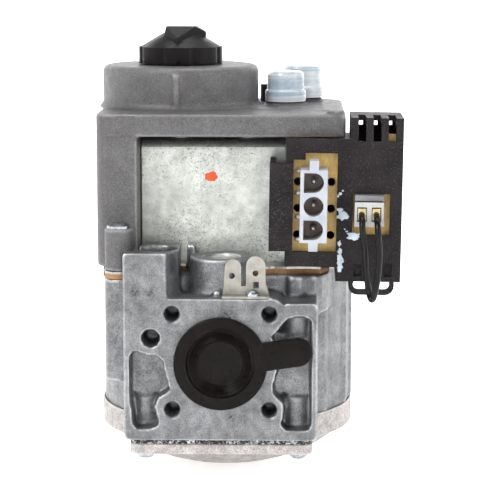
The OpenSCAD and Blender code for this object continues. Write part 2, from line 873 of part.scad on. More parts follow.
module cover_shell() {
    // Front wall behind the three-way header
    block(17, 33.6, cover_front, cover_front + 1.5, 24.2, 57.7);
    // Raised band on the left, standing on the coil bracket
    block(12.8, 19, cover_front - 1, cover_front + 1, 28.3, 51.2);
    block(12.8, 14.2, cover_front, panel_face - 0.1, 28.3, 51.2);
    // Box on the right, with a back wall behind its vents only
    difference() {
        union() {
            block(30.4, 47.3, cover_front, box_back, 20.5, 57.6);
            block(33.7, 47.3, cover_front, box_back, 57, 63.3);
        }
        block(31.9, 45.8, cover_front + 1.5, box_back + 1, 22, 52);
        block(31.9, 45.8, cover_front + 1.5, box_back - 1.4, 51, 57);
        block(35.2, 45.8, cover_front + 1.5, box_back - 1.4, 56, 61.8);
        block(29, 33, cover_front + 1.5, 12, 22, 57);
    }
    // Posts that hold the circuit board
    for (at = [[21, 26.4], [28, 55.4], [43.6, 26.4]])
        rod(at[0], at[1], cover_front + 1, board_front, 1.3);
}

// Retaining bail under the box, with its tongue
module bail() {
    wall(cover_front, cover_front + 2) difference() {
        polygon(rounded(33.8, 45.7, 17, 22.5, 2.4));
        polygon(rounded(35, 44.5, 18.3, 21.2, 1.3));
    }
    block(38.2, 41.2, cover_front, cover_front + 2, 17.6, 22);
}

module electronics_cover() {
    color("#1d1e20") lean() {
        difference() {
            union() {
                cover_shell();
                bail();
            }
            // Window over the circuit board, window for the jumper plug, and the vents
            block(19, 30.4, 0, cover_front + 4, 28.1, 54);
            block(34.5, 44.2, 0, cover_front + 4, 32.8, 43.6);
            for (x = vents) {
                block(x, x + 2, 0, 16, 57.2, 70);
                block(x + 0.3, x + 1.7, box_back - 3, box_back + 1, 59.9, 61.4);
            }
            for (x = [35.1, 42.8])
                block(x, x + 2.2, 0, cover_front + 0.9, 21.9, 25.3);
        }
        // Tab in the window's top left corner
        block(18.9, 22.1, cover_front, cover_front + 1.5, 52.2, 54.1);
    }
}

module circuit_board() {
    color("#c19a45") lean() difference() {
        union() {
            block(18.4, 45.4, board_front, board_front + board_t, 25, 56.6);
            block(vents[2] - 0.4, 45.4, board_front, board_front + board_t, 56, 58.9);
        }
        for (x = [-4.1, 4.6], z = [-8.7, -1.7, 5.3])
            rod(header_x + x, header_z + z, board_front - 1, board_front + 3, 1.1);
    }
}

module board_parts() {
    color("#3a3f45") lean() {
        block(34, 43, board_front + board_t, 20, 47, 55);
        rod(24, 34, board_front + board_t, 15.6, 2.4);
        block(33, 43.6, board_front + board_t, 14, 27, 31);
    }
}

module three_way_header() {
    color("#dfe3ea") lean() difference() {
        union() {
            block(header_x - header_half_w, header_x + header_half_w, header_front, board_front,
                header_z - header_half_h, header_z + header_half_h);
            block(header_x - 1.2, header_x + 1.2, header_front, header_front + 6,
                header_z - header_half_h - 2.2, header_z + header_half_h + 2.4);
        }
        for (k = [-1:1])
            rod(header_x, header_z + k * header_pitch, header_front - 1, board_front - 2, cavity_half);
        for (k = [-1, 1])
            block(header_x - cavity_half, header_x, header_front - 1, board_front - 2,
                header_z + k * header_pitch - cavity_half, header_z + k * header_pitch + cavity_half);
    }
}

module header_pins() {
    color("#b9b6a6") lean()
        for (k = [-1:1]) {
            rod(header_x, header_z + k * header_pitch, header_front + 4, board_front - 2, 0.75);
            translate([header_x, header_front + 4.01, header_z + k * header_pitch]) rotate([90, 0, 0])
                cylinder(h = 0.8, r1 = 0.75, r2 = 0.35);
        }
}

module jumper_header() {
    color("#9aa0a8") lean() {
        block(jumper_x - plug_half_w, jumper_x + plug_half_w, board_front - 1.8, board_front,
            jumper_z - 2.9, jumper_z + 5);
        block(jumper_x - plug_half_w, jumper_x + plug_half_w, plug_front + 0.8, board_front - 1.8,
            jumper_z + 3.6, jumper_z + 5);
    }
}

module jumper_header_pins() {
    color("#cbb26a") lean()
        for (side = [-1, 1])
            block(jumper_x + side * jumper_pitch / 2 - 0.55, jumper_x + side * jumper_pitch / 2 + 0.55,
                plug_front + 2.6, board_front - 1.8, jumper_z - 0.55, jumper_z + 0.55);
}

module jumper_plug() {
    color("#eceef0") lean() difference() {
        block(jumper_x - plug_half_w, jumper_x + plug_half_w, plug_front, board_front - 2.1,
            jumper_z - 3, jumper_z + 3.3);
        for (side = [-1, 1])
            translate([jumper_x + side * jumper_pitch / 2, plug_front - 1, jumper_z]) {
                translate([-1.2, 0, -1.7]) cube([2.4, 3.3, 3.7]);
                translate([-0.85, 0, -0.85]) cube([1.7, 9, 1.7]);
            }
    }
}

module jumper_contacts() {
    color("#c9a94c") lean()
        for (side = [-1, 1])
            block(jumper_x + side * jumper_pitch / 2 - 1, jumper_x + side * jumper_pitch / 2 + 1,
                plug_front + 0.7, plug_front + 2.3, jumper_z - 1.4, jumper_z + 1.6);
}

// Route of the jumper wire's centre line, out of one contact and back into the other
jumper_route = [
    [36.8, 2.9, 38.5], [36.8, 1.2, 38.3], [36.8, -0.5, 37.5], [36.9, -1.6, 35.7], [37.2, -2, 33.2],
    [37.6, -1.7, 30.6], [37.9, -1.2, 27.8], [38.1, -0.5, 25], [38.4, 0.3, 22.4], [38.8, 0.4, 19.9],
    [39.2, -0.7, 17.8], [39.6, -2.9, 17.2], [40, -5.1, 17.9], [40.4, -6.2, 20], [40.8, -6.1, 22.6],
    [41.1, -5.5, 25.2], [41.3, -4.6, 27.8], [41.3, -3.7, 30.3], [41.1, -2.9, 32.8], [40.9, -2.2, 35.2],
    [40.7, -0.9, 37.3], [40.6, 1, 38.3], [40.6, 2.9, 38.5]
];

module jumper_wire() {
    color("#141416") lean() tube(jumper_route, wire_d / 2, 8);
}

// Ground terminal on the flange's ledge, with two tabs and a square lance hole
module ground_terminal() {
    color("#d3cfc4") difference() {
        union() {
            block(0.4, 12.8, 0.3, 4.4, ledge_z, ledge_z + 0.7);
            wall(3.7, 4.4) polygon(concat(
                [[0.5, ledge_z], [12.6, ledge_z], [12.3, 18.6], [11.7, 20.3]],
                arc([9.1, 25], 2.55, 0, 180, 8),
                [[6.5, 19.6], [5.3, 19.6]],
                arc([3.15, 24.6], 2.15, 0, 180, 8)
            ));
        }
        rod(2.9, 22.3, 3, 5, 0.75);
        rod(9.05, 23, 3, 5, 0.75);
        block(8.4, 9.9, 3, 5, 19, 20.7);
        post(ground_screw_at, ledge_z - 1, ledge_z + 3, ground_screw_r + pin_fit);
    }
}

module ground_screw() {
    color("#b9c6d0") {
        post(ground_screw_at, 12.5, ledge_z + 1.2, ground_screw_r);
        translate([ground_screw_at[0], ground_screw_at[1], ledge_z + 0.7]) intersection() {
            translate([0, 0, -0.5]) sphere(r = 2.1);
            cylinder(h = 2, r = 1.85);
        }
    }
}

// Protective plug in the outlet port, with its pull tab
module outlet_plug() {
    color("#161618") {
        difference() {
            union() {
                rod(0, -0.2, -1.6, -gap, 12.2);
                rod(0, 0, -gap - 0.1, 8, port_r - pin_fit);
                rotate([0, -8.6, 0]) wall(-1.4, -gap - 0.1)
                    polygon(concat(arc([20.4, 0], 3.7, -90, 90, 8), [[8, 3.7], [8, -3.7]]));
            }
            rod(0, -0.3, -2, -0.9, 8.8);
            rod(0, -0.3, -2, -0.2, 5.9);
        }
    }
}

valve_body();
bottom_cover();
cover_gasket();
main_diaphragm();
cover_screws();
inlet_screen();
main_valve_disc();
main_valve_rubber();
main_valve_stem();
diaphragm_plate();
main_valve_spring();
base_gasket();
seal_plate();
control_housing();
housing_screws();
vent_post();
coil_bracket();
coil_bobbins();
coil_windings();
plunger_tubes();
fixed_cores();
first_plunger();
first_plunger_rubber();
first_plunger_spring();
second_plunger();
second_plunger_rubber();
second_plunger_spring();
manual_valve_seat();
manual_valve_disc();
knob_shaft();
shaft_clip();
knob();
front_adjust_screw();
rear_adjust_screw();
front_regulator_spring();
rear_regulator_spring();
servo_diaphragms();
front_cap();
rear_cap();
electronics_cover();
circuit_board();
board_parts();
three_way_header();
header_pins();
jumper_header();
jumper_header_pins();
jumper_plug();
jumper_contacts();
jumper_wire();
ground_terminal();
ground_screw();
outlet_plug();
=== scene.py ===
"""Looks of a servo-regulated gas valve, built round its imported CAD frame.

Blender's lengths are metres, +X right, +Y back, +Z up. The helpers take millimetres and scale them by MM.
"""

import json
import math

import bmesh
import bpy
from mathutils import Matrix, Vector, noise


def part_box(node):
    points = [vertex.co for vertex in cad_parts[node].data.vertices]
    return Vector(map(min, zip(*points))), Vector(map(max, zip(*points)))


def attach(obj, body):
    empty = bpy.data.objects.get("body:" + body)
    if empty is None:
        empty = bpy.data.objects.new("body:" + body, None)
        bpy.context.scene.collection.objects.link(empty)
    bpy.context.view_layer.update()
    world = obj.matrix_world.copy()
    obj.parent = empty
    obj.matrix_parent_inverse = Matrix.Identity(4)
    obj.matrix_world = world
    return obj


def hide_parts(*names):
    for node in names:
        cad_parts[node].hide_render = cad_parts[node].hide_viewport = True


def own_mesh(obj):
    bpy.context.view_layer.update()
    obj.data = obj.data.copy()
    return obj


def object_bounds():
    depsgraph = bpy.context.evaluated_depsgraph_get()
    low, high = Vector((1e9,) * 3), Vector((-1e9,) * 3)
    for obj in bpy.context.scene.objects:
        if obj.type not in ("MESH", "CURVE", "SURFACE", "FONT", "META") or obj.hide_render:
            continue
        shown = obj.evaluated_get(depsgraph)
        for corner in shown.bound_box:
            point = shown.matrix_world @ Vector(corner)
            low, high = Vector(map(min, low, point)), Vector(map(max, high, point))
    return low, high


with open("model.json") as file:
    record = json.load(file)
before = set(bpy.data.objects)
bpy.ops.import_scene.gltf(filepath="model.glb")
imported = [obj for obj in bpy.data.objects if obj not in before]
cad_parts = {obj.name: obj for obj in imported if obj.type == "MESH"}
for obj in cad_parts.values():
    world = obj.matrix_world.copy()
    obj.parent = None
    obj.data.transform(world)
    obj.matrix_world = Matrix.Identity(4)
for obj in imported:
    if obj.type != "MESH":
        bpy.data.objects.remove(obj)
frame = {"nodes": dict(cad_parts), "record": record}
cad_low, cad_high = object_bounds()
nodes = frame["nodes"]
MM = 0.001


# ---------------------------------------------------------------- camera, cord, floor and light

# Place in metres, lens and sensor in millimetres, turns in degrees
CAMERA_AT = (21.1 * MM, -479.2 * MM, 104.8 * MM)
CAMERA_LENS = 135.6
CAMERA_SENSOR = 36
CAMERA_LOOKS_DOWN = 8.9
CAMERA_LOOKS_LEFT = 1.6


def add_camera():
    data = bpy.data.cameras.new("camera")
    data.lens = CAMERA_LENS
    data.sensor_width = CAMERA_SENSOR
    data.clip_start = 0.01
    camera = bpy.data.objects.new("camera", data)
    camera.location = CAMERA_AT
    camera.rotation_euler = (math.radians(90 - CAMERA_LOOKS_DOWN), 0, math.radians(CAMERA_LOOKS_LEFT))
    bpy.context.scene.collection.objects.link(camera)
    bpy.context.scene.camera = camera


# The jumper wire's centre line, out of the left contact and back into the right one, in millimetres,
# before the electronics lean
WIRE_ROUTE = [
    (36.8, 2.9, 38.5), (36.8, 1.2, 38.3), (36.8, -0.5, 37.5), (36.9, -1.6, 35.7), (37.2, -2, 33.2),
    (37.6, -1.7, 30.6), (37.9, -1.2, 27.8), (38.1, -0.5, 25), (38.4, 0.3, 22.4), (38.8, 0.4, 19.9),
    (39.2, -0.7, 17.8), (39.6, -2.9, 17.2), (40, -5.1, 17.9), (40.4, -6.2, 20), (40.8, -6.1, 22.6),
    (41.1, -5.5, 25.2), (41.3, -4.6, 27.8), (41.3, -3.7, 30.3), (41.1, -2.9, 32.8), (40.9, -2.2, 35.2),
    (40.7, -0.9, 37.3), (40.6, 1, 38.3), (40.6, 2.9, 38.5),
]
LEAN = math.radians(0.8)
LEAN_AT = Vector((40, 0, 61))


def lean(point):
    """A point in millimetres turned with the electronics about LEAN_AT, in metres."""
    return (LEAN_AT + Matrix.Rotation(LEAN, 3, "Y") @ (Vector(point) - LEAN_AT)) * MM


WIRE_DIAMETER = 1.65 * MM


def add_jumper_wire():
    curve = bpy.data.curves.new("wire_loop", "CURVE")
    curve.dimensions = "3D"
    # The points' radii carry the wire's thickness, because a curve's box grows by them
    curve.bevel_depth = 1
    curve.bevel_resolution = 5
    curve.resolution_u = 8
    curve.use_fill_caps = True
    spline = curve.splines.new("NURBS")
    spline.points.add(len(WIRE_ROUTE) - 1)
    for point, at in zip(spline.points, WIRE_ROUTE):
        point.co = (*lean(at), 1)
        point.radius = WIRE_DIAMETER / 2
    spline.use_endpoint_u = True
    spline.order_u = 4
    wire = bpy.data.objects.new("wire_loop", curve)
    bpy.context.scene.collection.objects.link(wire)
    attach(wire, "jumper")
    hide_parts("jumper_wire")
    return wire


# The floor in metres: its middle disc, its flat part, the radius of its curve and the top of its wall
FLOOR_DISC = 0.6
FLOOR_FLAT = 1.3
FLOOR_CURVE = 0.5
FLOOR_WALL = 1.2
FLOOR_STEPS = 96
FLOOR_GLOW = 0.55


def add_floor():
    """A round white sweep: a flat floor that curves up into a wall all round, beyond the lights."""
    profile = [(FLOOR_DISC, 0.0), (FLOOR_FLAT, 0.0)]
    for angle in range(10, 91, 10):
        turn = math.radians(angle)
        profile.append((FLOOR_FLAT + FLOOR_CURVE * math.sin(turn), FLOOR_CURVE * (1 - math.cos(turn))))
    profile.append((FLOOR_FLAT + FLOOR_CURVE, FLOOR_WALL))
    sweep = bmesh.new()
    turns = [math.tau * k / FLOOR_STEPS for k in range(FLOOR_STEPS)]
    rings = []
    for radius, height in profile:
        z = cad_low[2] + height
        rings.append([sweep.verts.new((radius * math.cos(t), radius * math.sin(t), z)) for t in turns])
    sweep.faces.new(rings[0])
    for low, high in zip(rings, rings[1:]):
        for k in range(FLOOR_STEPS):
            n = (k + 1) % FLOOR_STEPS
            sweep.faces.new((low[n], low[k], high[k], high[n]))
    mesh = bpy.data.meshes.new("floor")
    sweep.to_mesh(mesh)
    sweep.free()
    mesh.shade_smooth()
    floor = bpy.data.objects.new("floor", mesh)
    bpy.context.scene.collection.objects.link(floor)
    return floor


WORLD_GLOW = 0.2


def add_area(name, at, aim, size, power):
    """A rectangular lamp that faces aim, with its size in metres and its power in watts."""
    data = bpy.data.lights.new(name, "AREA")
    data.shape = "RECTANGLE"
    data.size, data.size_y = size
    data.energy = power
    lamp = bpy.data.objects.new(name, data)
    lamp.location = at
    lamp.rotation_euler = (Vector(aim) - Vector(at)).to_track_quat("-Z", "Y").to_euler()
    bpy.context.scene.collection.objects.link(lamp)


def add_light():
    middle = (0.005, 0.03, 0.03)
    add_area("key", (-0.5, -0.55, 0.8), middle, (0.4, 0.4), 8)
    add_area("fill", (0.75, -0.35, 0.3), middle, (0.5, 0.7), 2)
    add_area("top", (0.05, 0.25, 0.95), middle, (0.7, 0.7), 7)
    add_area("wall", (0, 0.95, 1.1), (0, 1.8, 0.3), (1.6, 0.3), 14)
    world = bpy.data.worlds.new("studio")
    world.use_nodes = True
    background = world.node_tree.nodes["Background"]
    background.inputs["Color"].default_value = (1, 1, 1, 1)
    background.inputs["Strength"].default_value = WORLD_GLOW
    bpy.context.scene.world = world
    bpy.context.scene.view_settings.view_transform = "Standard"


# ---------------------------------------------------------------- materials

finishes = {}


class Shader:
    """A Principled material with short calls for the nodes that feed it. Lengths are millimetres."""

    def __init__(self, name):
        self.name = name
        self.material = bpy.data.materials.new(name)
        self.material.use_nodes = True
        self.tree = self.material.node_tree
        self.tree.nodes.clear()
        output = self.tree.nodes.new("ShaderNodeOutputMaterial")
        self.bsdf = self.tree.nodes.new("ShaderNodeBsdfPrincipled")
        self.link(self.bsdf.outputs["BSDF"], output, "Surface")
        self.coords = self.tree.nodes.new("ShaderNodeTexCoord").outputs["Object"]

    def link(self, source, node, socket):
        self.tree.links.new(source, node.inputs[socket])

    def set(self, **values):
        """Sets sockets of the shader by name, such as specular_ior_level."""
        for name, value in values.items():
            socket = name.replace("_", " ").title().replace("Ior", "IOR")
            self.bsdf.inputs[socket].default_value = value
        return self

    def stretched(self, scale):
        """Coordinates for a pattern drawn out along the axes where scale is below 1."""
        node = self.tree.nodes.new("ShaderNodeMapping")
        node.inputs["Scale"].default_value = scale
        self.link(self.coords, node, "Vector")
        return node.outputs["Vector"]

    def noise(self, size, detail=3.0, rough=0.55, vector=None):
        """Fractal noise with its largest shapes about size across."""
        node = self.tree.nodes.new("ShaderNodeTexNoise")
        node.inputs["Scale"].default_value = 1 / (size * MM)
        node.inputs["Detail"].default_value = detail
        node.inputs["Roughness"].default_value = rough
        self.link(vector or self.coords, node, "Vector")
        return node.outputs["Fac"]

    def cells(self, size):
        """Distance to the middle of irregular cells about size across."""
        node = self.tree.nodes.new("ShaderNodeTexVoronoi")
        node.inputs["Scale"].default_value = 1 / (size * MM)
        self.link(self.coords, node, "Vector")
        return node.outputs["Distance"]

    def edges(self, radius):
        """1 where the surface turns within radius, 0 on flats."""
        bevel = self.tree.nodes.new("ShaderNodeBevel")
        bevel.inputs["Radius"].default_value = radius * MM
        bevel.samples = 4
        geometry = self.tree.nodes.new("ShaderNodeNewGeometry")
        dot = self.tree.nodes.new("ShaderNodeVectorMath")
        dot.operation = "DOT_PRODUCT"
        self.link(bevel.outputs["Normal"], dot, 0)
        self.link(geometry.outputs["Normal"], dot, 1)
        return self.ramp(dot.outputs["Value"], [(0.86, 1.0), (0.99, 0.0)])

    def sharpness(self):
        """Above 0.5 on outward corners and below it on inward ones, from the mesh itself."""
        return self.tree.nodes.new("ShaderNodeNewGeometry").outputs["Pointiness"]

    def near(self, at, reach, axes=(1, 1, 1)):
        """Distance from at as a share of reach, leaving out the axes where axes is 0."""
        offset = self.tree.nodes.new("ShaderNodeVectorMath")
        offset.operation = "SUBTRACT"
        self.link(self.coords, offset, 0)
        offset.inputs[1].default_value = tuple(c * MM for c in at)
        kept = self.tree.nodes.new("ShaderNodeVectorMath")
        kept.operation = "MULTIPLY"
        self.link(offset.outputs["Vector"], kept, 0)
        kept.inputs[1].default_value = tuple(c / (reach * MM) for c in axes)
        length = self.tree.nodes.new("ShaderNodeVectorMath")
        length.operation = "LENGTH"
        self.link(kept.outputs["Vector"], length, 0)
        return length.outputs["Value"]

    def ramp(self, source, stops):
        """stops are (position, value or colour) pairs."""
        node = self.tree.nodes.new("ShaderNodeValToRGB")
        ramp = node.color_ramp
        while len(ramp.elements) < len(stops):
            ramp.elements.new(0.5)
        for element, (position, value) in zip(ramp.elements, stops):
            element.position = position
            element.color = (*value, 1) if isinstance(value, tuple) else (value, value, value, 1)
        self.link(source, node, "Fac")
        return node.outputs["Color"]

    def mix(self, factor, a, b, blend="MIX"):
        """Blends two colours. Each argument is a node's output, a colour or a number."""
        node = self.tree.nodes.new("ShaderNodeMix")
        node.data_type = "RGBA"
        node.blend_type = blend
        for socket, value in ((0, factor), (6, a), (7, b)):
            if isinstance(value, (int, float)):
                node.inputs[socket].default_value = value if socket == 0 else (value, value, value, 1)
            elif isinstance(value, tuple):
                node.inputs[socket].default_value = (*value, 1)
            else:
                self.tree.links.new(value, node.inputs[socket])
        return node.outputs[2]

    def hollows(self, distance):
        """Near 1 in the open, falling towards 0 deep inside a hollow."""
        node = self.tree.nodes.new("ShaderNodeAmbientOcclusion")
        node.samples = 8
        node.inputs["Distance"].default_value = distance * MM
        return node.outputs["AO"]

    def bump(self, height, depth, before=None):
        """Relief depth high, on top of the relief before."""
        node = self.tree.nodes.new("ShaderNodeBump")
        node.inputs["Distance"].default_value = depth * MM
        self.link(height, node, "Height")
        if before:
            self.link(before, node, "Normal")
        return node.outputs["Normal"]

    def finish(self, colour, rough, normal=None):
        """Links the last nodes to the shader and keeps the material in finishes, under its name."""
        self.link(colour, self.bsdf, "Base Color")
        self.link(rough, self.bsdf, "Roughness")
        if normal is not None:
            self.link(normal, self.bsdf, "Normal")
        finishes[self.name] = self.material


def cast_metal(name, dark, light, shine, rough, grain=0.35, spots=0.25, edge_highlight_gain=1.5, blotches=0.3,
               machined=(), smudges=()):
    """A blasted die casting: fine grain, soft mottling, sooty specks, painted shade in its creases, painted
    light lifting its hollows and painted highlights on its outward edges.

    machined lists bores that were cut bright, as (x, y, radius, lowest z). smudges lists sooty marks, as
    (point, radius).
    """
    s = Shader(name).set(metallic=shine)
    mottle = s.ramp(s.noise(9, 5, 0.6), [(0.34, dark), (0.66, light)])
    fine = s.ramp(s.noise(grain, 3, 0.7), [(0.32, 0.55), (0.52, 1.0), (0.70, 1.4)])
    colour = s.mix(1.0, mottle, fine, "MULTIPLY")
    blotch = s.ramp(s.noise(2.4, 6, 0.7), [(0.34, 1 - blotches), (0.5, 1.0), (0.68, 1 + blotches)])
    colour = s.mix(1.0, colour, blotch, "MULTIPLY")
    soot = s.ramp(s.noise(3.6, 9, 0.78), [(0.585, 0.0), (0.70, spots)])
    colour = s.mix(soot, colour, tuple(0.3 * c for c in dark))
    # Painted light: deep in hollows the colour is lifted up to 1.15 times, standing in for fill light
    dust_and_hollow_lift = s.ramp(s.hollows(3), [(0.2, 1.15), (0.75, 1.0)])
    colour = s.mix(1.0, colour, dust_and_hollow_lift, "MULTIPLY")
    for at, reach in smudges:
        spread = s.ramp(s.near(at, reach), [(0.35, 1.0), (1.0, 0.0)])
        flecks = s.ramp(s.noise(0.7, 6, 0.8), [(0.46, 0.0), (0.56, 0.9)])
        colour = s.mix(s.mix(1.0, spread, flecks, "MULTIPLY"), colour, (0.02, 0.02, 0.022))
    # Painted shade: inward corners are darkened down to half
    painted_crease_shade = s.ramp(s.sharpness(), [(0.40, 0.5), (0.485, 1.0)])
    colour = s.mix(1.0, colour, painted_crease_shade, "MULTIPLY")
    # Painted highlight: outward corners are brightened towards a multiple of the light colour, in patches
    highlight_patches = s.ramp(s.noise(1.2, 5, 0.7), [(0.3, 0.55), (0.6, 1.0)])
    painted_edge_highlight = s.mix(1.0, s.ramp(s.sharpness(), [(0.515, 0.0), (0.56, 1.0)]), highlight_patches, "MULTIPLY")
    colour = s.mix(painted_edge_highlight, colour, tuple(min(1, edge_highlight_gain * c) for c in light))
    for x, y, radius, low in machined:
        inside = s.ramp(s.near((x, y, 0), radius, (1, 1, 0)), [(0.99, 1.0), (1.0, 0.0)])
        above = s.ramp(s.near((0, 0, 0), 100, (0, 0, 1)), [(low / 100, 0.0), (low / 100 + 0.004, 1.0)])
        tool_marks = s.noise(0.5, 2, 0.5, s.stretched((0.1, 0.1, 1)))
        cut = s.ramp(tool_marks, [(0.3, (0.45, 0.45, 0.44)), (0.7, (0.8, 0.8, 0.77))])
        colour = s.mix(s.mix(1.0, inside, above, "MULTIPLY"), colour, cut)
    roughness = s.ramp(s.noise(1.5, 4), [(0.3, rough - 0.1), (0.7, rough + 0.1)])
    normal = s.bump(s.noise(grain, 3, 0.6), 0.09)
    normal = s.bump(s.noise(5, 3), 0.25, normal)
    s.finish(colour, roughness, normal)


def plated_sheet(name, dark, light, rough, spangle=2.2, shine=0.9, speckle=1.0):
    """Zinc or tin plated sheet, speckled, faintly stained and streaked."""
    s = Shader(name).set(metallic=shine)
    patches = s.ramp(s.cells(spangle), [(0.1, dark), (0.75, light)])
    speck = s.ramp(s.noise(0.55, 5, 0.85), [(0.38, 0.25), (0.46, 0.93), (0.7, 1.15)])
    where = s.ramp(s.noise(16, 2, 0.5), [(0.42, 0.25 * speckle), (0.58, speckle)])
    colour = s.mix(1.0, patches, s.mix(where, (0.97, 0.97, 0.97), speck), "MULTIPLY")
    cloud = s.ramp(s.noise(11, 4, 0.65), [(0.35, 0.8), (0.55, 1.0), (0.7, 1.12)])
    colour = s.mix(1.0, colour, cloud, "MULTIPLY")
    run = s.ramp(s.noise(1.4, 4, 0.7, s.stretched((1, 1, 0.12))), [(0.52, 0.0), (0.74, 0.25)])
    colour = s.mix(run, colour, tuple(0.55 * c for c in dark))
    roughness = s.ramp(s.noise(2.5, 4), [(0.3, rough - 0.08), (0.7, rough + 0.12)])
    normal = s.bump(s.noise(0.4, 3), 0.02)
    normal = s.bump(s.noise(18, 2), 0.4, normal)
    s.finish(colour, roughness, normal)


def turned_metal(name, dark, light, rough):
    """Metal turned about a vertical axis, with fine rings."""
    s = Shader(name).set(metallic=1.0)
    rings = s.noise(0.5, 2, 0.5, s.stretched((0.15, 0.15, 1)))
    colour = s.ramp(rings, [(0.3, dark), (0.7, light)])
    roughness = s.ramp(s.noise(1.1, 3), [(0.3, rough - 0.05), (0.7, rough + 0.08)])
    s.finish(colour, roughness, s.bump(rings, 0.01))


def moulded(name, dark, light, rough, grain=0.25, depth=0.02, dust_and_hollow_lift=0.0, specular=0.3):
    """Moulded plastic, rubber or paint with a fine texture, and specks and scratches if dust is above 0."""
    s = Shader(name).set(specular_ior_level=specular)
    colour = s.ramp(s.noise(6, 3), [(0.35, dark), (0.7, light)])
    if dust_and_hollow_lift:
        specks = s.ramp(s.noise(0.4, 6, 0.8), [(0.57, 0.0), (0.70, dust_and_hollow_lift)])
        colour = s.mix(specks, colour, (0.32, 0.31, 0.31))
        lines = s.noise(0.5, 3, 0.6, s.stretched((0.04, 1, 1)))
        scratch = s.ramp(lines, [(0.70, 0.0), (0.80, 0.6 * dust_and_hollow_lift)])
        colour = s.mix(scratch, colour, (0.4, 0.4, 0.4))
    roughness = s.ramp(s.noise(2, 3), [(0.3, rough - 0.06), (0.7, rough + 0.08)])
    s.finish(colour, roughness, s.bump(s.noise(grain, 3, 0.6), depth))


def milky_nylon(name, dark, light, rough, inside):
    """Natural nylon that scatters a little light, with a brownish painted shade, the colour inside, deep in
    its hollows.
    """
    s = Shader(name).set(subsurface_weight=0.1, subsurface_scale=0.002)
    colour = s.ramp(s.noise(4, 3), [(0.35, dark), (0.7, light)])
    # Painted shade: the brownish colour inside replaces the nylon's colour deep in its hollows
    painted_hollow_shade = s.ramp(s.hollows(5), [(0.3, 1.0), (0.75, 0.0)])
    colour = s.mix(painted_hollow_shade, colour, inside)
    roughness = s.ramp(s.noise(1.5, 3), [(0.3, rough - 0.05), (0.7, rough + 0.06)])
    s.finish(colour, roughness, s.bump(s.noise(0.6, 2), 0.015))


def milky_cap(name):
    """Cloudy plastic with bluish bands round it and painted highlights on its rims."""
    s = Shader(name)
    s.set(subsurface_weight=0.3, subsurface_scale=0.003, coat_weight=0.4, coat_roughness=0.08)
    bands = s.noise(2.2, 1, 0.5, s.stretched((0.06, 0.06, 1)))
    colour = s.ramp(bands, [(0.4, (0.29, 0.36, 0.42)), (0.5, (0.48, 0.5, 0.51)),
                            (0.6, (0.38, 0.43, 0.46))])
    # Painted highlight: the rims are made paler
    rim = s.ramp(s.edges(0.8), [(0, 0), (1, 0.6)])
    colour = s.mix(rim, colour, (0.72, 0.74, 0.75))
    s.finish(colour, s.ramp(s.noise(2, 2), [(0.3, 0.22), (0.7, 0.32)]))


def flashed_rubber(name):
    """A black gasket edge with torn, shiny bits of casting flash on it."""
    s = Shader(name)
    bits = s.ramp(s.noise(0.9, 6, 0.8), [(0.50, 0.0), (0.56, 1.0)])
    colour = s.mix(bits, (0.015, 0.014, 0.014), (0.55, 0.55, 0.56))
    s.link(bits, s.bsdf, "Metallic")
    s.finish(colour, s.ramp(bits, [(0, 0.8), (1, 0.35)]), s.bump(bits, 0.25))


def laminate(name):
    """Bare tan circuit-board laminate with a faint glass weave."""
    s = Shader(name)
    weave = s.noise(0.4, 1, 0.5, s.stretched((1, 1, 0.35)))
    base = s.ramp(s.noise(5, 3), [(0.3, (0.5, 0.32, 0.085)), (0.7, (0.74, 0.5, 0.15))])
    colour = s.mix(1.0, base, s.ramp(weave, [(0.3, 0.85), (0.7, 1.1)]), "MULTIPLY")
    s.finish(colour, s.ramp(weave, [(0.3, 0.35), (0.7, 0.5)]), s.bump(weave, 0.01))


def fibre(name):
    """Brown pressed gasket fibre with its strands lying flat."""
    s = Shader(name)
    strands = s.noise(0.5, 6, 0.7, s.stretched((1, 1, 3)))
    colour = s.ramp(strands, [(0.3, (0.16, 0.075, 0.028)), (0.7, (0.38, 0.2, 0.08))])
    s.finish(colour, s.ramp(strands, [(0.3, 0.7), (0.7, 0.9)]), s.bump(strands, 0.05))


def white_sweep(name):
    """Matt white paper that glows a little, so that it stays even and pale."""
    moulded(name, (0.93, 0.93, 0.93), (0.95, 0.95, 0.95), 0.7, 3, 0.02, specular=0.1)
    shader = finishes[name].node_tree.nodes["Principled BSDF"]
    shader.inputs["Emission Color"].default_value = (1, 1, 1, 1)
    shader.inputs["Emission Strength"].default_value = FLOOR_GLOW


def grey(value):
    """The slightly cool grey of the body's aluminium."""
    return (0.985 * value, value, 1.03 * value)


